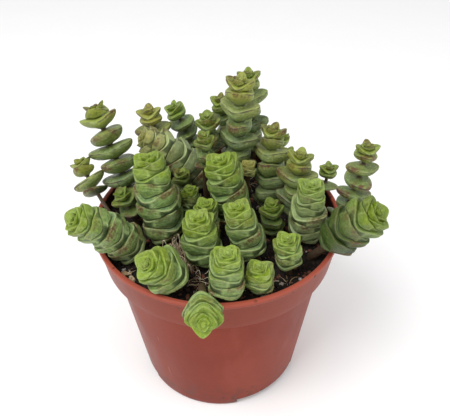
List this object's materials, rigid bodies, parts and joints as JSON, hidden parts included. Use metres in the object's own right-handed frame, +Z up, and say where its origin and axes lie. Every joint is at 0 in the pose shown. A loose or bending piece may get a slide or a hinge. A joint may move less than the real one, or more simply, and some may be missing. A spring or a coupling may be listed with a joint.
{
  "type": "potted hottentot crassula",
  "caption": "Hottentot crassula in a round plastic nursery pot: upright and leaning stems of thick stacked leaf pairs in dark potting soil.",
  "frame": {"origin": "centre of the pot's foot, on the surface that the pot stands on", "axes": "+Z up along the pot's axis, the front (towards the picture's camera) faces -Y, +X to the right"},
  "size_m": [0.1271, 0.1405, 0.1416],
  "materials": {
    "pot": "satin terracotta-red plastic, with a brighter lip, fine scratches and specks of dried soil",
    "soil": "matt dark peat with fibres, bark crumbs and pale grains",
    "leaf_plump": "satin fleshy green leaves, lime at the tip and grey-green with a faint bloom below, thin pale and red-brown margins",
    "leaf_open": "satin grey-green leaves with red-brown margins, lime at the tip, on thin brown stems"
  },
  "bodies": {
    "root": {"pot": "pot", "soil": "soil", "stem_left_tall": "leaf_open", "stem_left_small": "leaf_open", "stem_left_front": "leaf_plump", "stem_front_left": "leaf_plump", "stem_front_middle": "leaf_plump", "stem_over_rim": "leaf_plump", "stem_front_right_small": "leaf_plump", "stem_mid_left": "leaf_plump", "stem_mid_twin": "leaf_plump", "stem_mid_right": "leaf_plump", "stem_right_front_small": "leaf_plump", "stem_middle": "leaf_plump", "stem_left_thick": "leaf_plump", "stem_left_leaning": "leaf_plump", "stem_back_left": "leaf_open", "stem_back_left_small": "leaf_open", "stem_tallest": "leaf_open", "stem_tall_behind": "leaf_open", "stem_back_middle": "leaf_open", "stem_inner_left": "leaf_open", "stem_inner_front": "leaf_open", "stem_right_middle": "leaf_open", "stem_right_inner": "leaf_open", "stem_right_small": "leaf_open", "stem_right_thick": "leaf_plump", "stem_right_tall": "leaf_open", "stem_right_front": "leaf_plump", "stem_inner_small": "leaf_plump", "stem_inner_yellow": "leaf_plump", "stem_left_dark": "leaf_open", "stem_left_dark_inner": "leaf_open", "stem_inner_low": "leaf_open", "stem_stub": "leaf_open", "stem_back_right_inner": "leaf_open", "stem_back_right": "leaf_open", "stem_back_far": "leaf_open", "stem_back_left_low": "leaf_open"}
  },
  "joints": []
}
